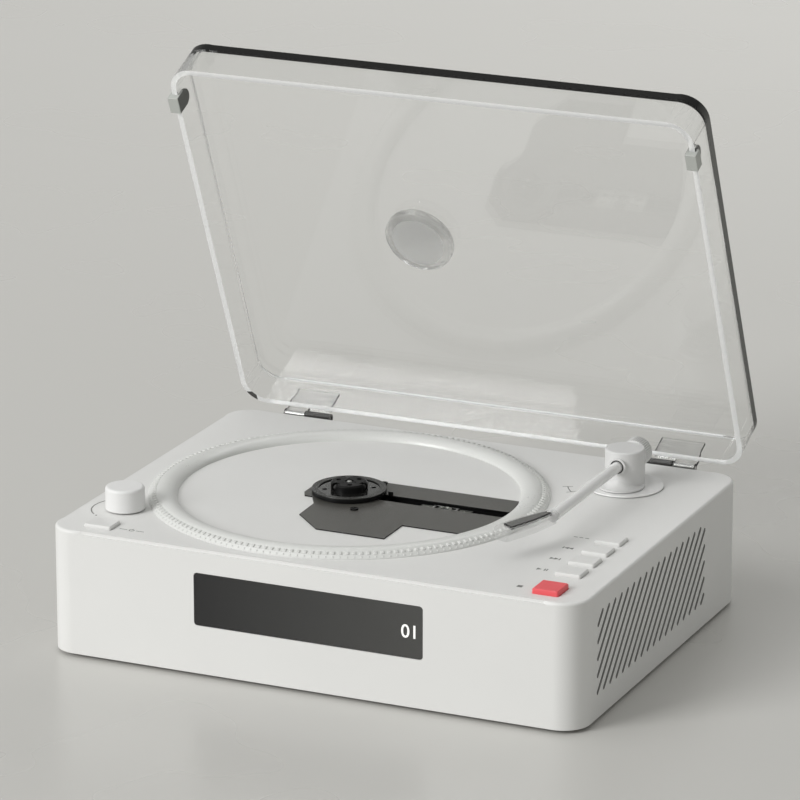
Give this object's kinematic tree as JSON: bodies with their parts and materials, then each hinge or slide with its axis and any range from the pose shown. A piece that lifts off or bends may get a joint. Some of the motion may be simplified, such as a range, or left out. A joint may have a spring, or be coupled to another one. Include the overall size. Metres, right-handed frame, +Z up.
{
  "type": "desktop cd player with clear hinged lid",
  "caption": "Low desktop disc player with a clear hinged lid, raised disc ring, swinging tonearm, keys, knob and side grilles.",
  "frame": {"origin": "centre of the housing footprint on the plane that the feet stand on", "axes": "+X to the right of the front panel, +Y to the rear where the lid is hinged, +Z up along the disc spindle"},
  "size_m": [0.226, 0.1944, 0.2189],
  "materials": {
    "white_shell": "satin",
    "grey_plastic": "matte",
    "rubber": "matte",
    "steel": "satin",
    "ring_white": "glossy, faintly translucent",
    "dark_sheet": "satin",
    "smoked_window": "satin smoked",
    "board": "satin",
    "dark_plastic": "matte",
    "cloth": "woven",
    "gloss_white": "glossy",
    "clear_acrylic": "clear polished",
    "bumper_rubber": "matte",
    "frosted": "frosted",
    "turntable_black": "satin",
    "hub_black": "satin",
    "pickup_metal": "satin",
    "lens_glass": "coated",
    "gear_plastic": "satin",
    "brass_pinion": "satin",
    "dark_chrome": "dark polished",
    "white_keys": "satin",
    "red_plastic": "satin"
  },
  "bodies": {
    "housing": {"housing_shell": "white_shell", "base_plate": "grey_plastic", "rubber_feet": "rubber", "case_screws": "steel", "platter_ring": "ring_white", "mechanism_cover": "dark_sheet", "cover_screws": "steel", "display_window": "smoked_window", "display_board": "board", "display_parts": "dark_plastic", "mech_frame": "steel", "mech_dampers": "rubber", "mech_screws": "steel", "spindle_motor": "steel", "sled_motor": "steel", "guide_rods": "steel", "main_board": "board", "key_boards": "board", "tact_switches": "dark_plastic", "volume_encoder": "steel", "inner_screws": "steel", "speaker_cloths": "cloth", "speaker_frames": "dark_plastic", "speaker_cones": "dark_plastic", "speaker_magnets": "steel", "dc_jack": "dark_plastic", "audio_jack": "dark_plastic", "hinge_brackets": "dark_plastic", "hinge_pins": "steel", "hinge_screws": "steel", "tonearm_base": "gloss_white"},
    "lid": {"lid_plate": "clear_acrylic", "lid_frame": "clear_acrylic", "lid_hinge_leaves": "clear_acrylic", "lid_bumpers": "bumper_rubber", "lid_badge": "clear_acrylic", "badge_inset": "frosted"},
    "turntable": {"turntable": "turntable_black", "disc_band": "rubber", "centring_hub": "hub_black", "hub_balls": "steel", "spindle_shaft": "steel"},
    "pickup": {"pickup_sled": "dark_plastic", "pickup_unit": "pickup_metal", "pickup_lens": "lens_glass"},
    "drive_gear": {"drive_gear": "gear_plastic"},
    "motor_pinion": {"motor_pinion": "brass_pinion"},
    "tonearm": {"arm_post": "gloss_white", "arm_tube": "gloss_white", "headshell": "clear_acrylic", "headshell_inlay": "dark_chrome", "counterweight": "gloss_white"},
    "volume_knob": {"volume_knob": "gloss_white"},
    "power_button": {"power_button": "white_keys"},
    "key_one": {"key_one": "white_keys"},
    "key_two": {"key_two": "white_keys"},
    "key_three": {"key_three": "white_keys"},
    "key_four": {"key_four": "white_keys"},
    "red_key": {"red_key": "red_plastic"}
  },
  "joints": [
    {"name": "lid_hinge", "type": "hinge", "parent": "housing", "child": "lid", "pos_m": [0, 0.08858, 0.05144], "axis": [1, 0, 0], "range_deg": [-8.5, 66.5]},
    {"name": "spindle_spin", "type": "hinge", "parent": "housing", "child": "turntable", "pos_m": [-0.0215, 0, 0.0522], "axis": [0, 0, 1], "continuous": true},
    {"name": "pickup_slide", "type": "slide", "parent": "housing", "child": "pickup", "axis": [1, 0, 0], "range_m": [-0.0185, 0.0165]},
    {"name": "drive_gear_spin", "type": "hinge", "parent": "housing", "child": "drive_gear", "pos_m": [0.019, -0.03, 0.0432], "axis": [0, 0, 1], "range_deg": [-240, 270]},
    {"name": "motor_pinion_spin", "type": "hinge", "parent": "housing", "child": "motor_pinion", "pos_m": [0.005, -0.03, 0.0432], "axis": [0, 0, 1], "range_deg": [-800, 720]},
    {"name": "tonearm_swing", "type": "hinge", "parent": "housing", "child": "tonearm", "pos_m": [0.0748, 0.05355, 0.0522], "axis": [0, 0, 1], "range_deg": [-26, 0]},
    {"name": "volume_turn", "type": "hinge", "parent": "housing", "child": "volume_knob", "pos_m": [-0.094, -0.05345, 0.0522], "axis": [0, 0, 1], "range_deg": [-150, 150]},
    {"name": "power_button_press", "type": "slide", "parent": "housing", "child": "power_button", "axis": [0, 0, -1], "range_m": [0, 0.0006], "stiffness_N_per_m": 300, "springref_m": -0.0007},
    {"name": "key_one_press", "type": "slide", "parent": "housing", "child": "key_one", "axis": [0, 0, -1], "range_m": [0, 0.0006], "stiffness_N_per_m": 300, "springref_m": -0.0007},
    {"name": "key_two_press", "type": "slide", "parent": "housing", "child": "key_two", "axis": [0, 0, -1], "range_m": [0, 0.0006], "stiffness_N_per_m": 300, "springref_m": -0.0007},
    {"name": "key_three_press", "type": "slide", "parent": "housing", "child": "key_three", "axis": [0, 0, -1], "range_m": [0, 0.0006], "stiffness_N_per_m": 300, "springref_m": -0.0007},
    {"name": "key_four_press", "type": "slide", "parent": "housing", "child": "key_four", "axis": [0, 0, -1], "range_m": [0, 0.0006], "stiffness_N_per_m": 300, "springref_m": -0.0007},
    {"name": "red_key_press", "type": "slide", "parent": "housing", "child": "red_key", "axis": [0, 0, -1], "range_m": [0, 0.0006], "stiffness_N_per_m": 300, "springref_m": -0.0007}
  ],
  "couplings": [
    {"joint": "drive_gear_spin", "follows": "pickup_slide", "rad_per_m": -250},
    {"joint": "motor_pinion_spin", "follows": "pickup_slide", "rad_per_m": 750}
  ]
}
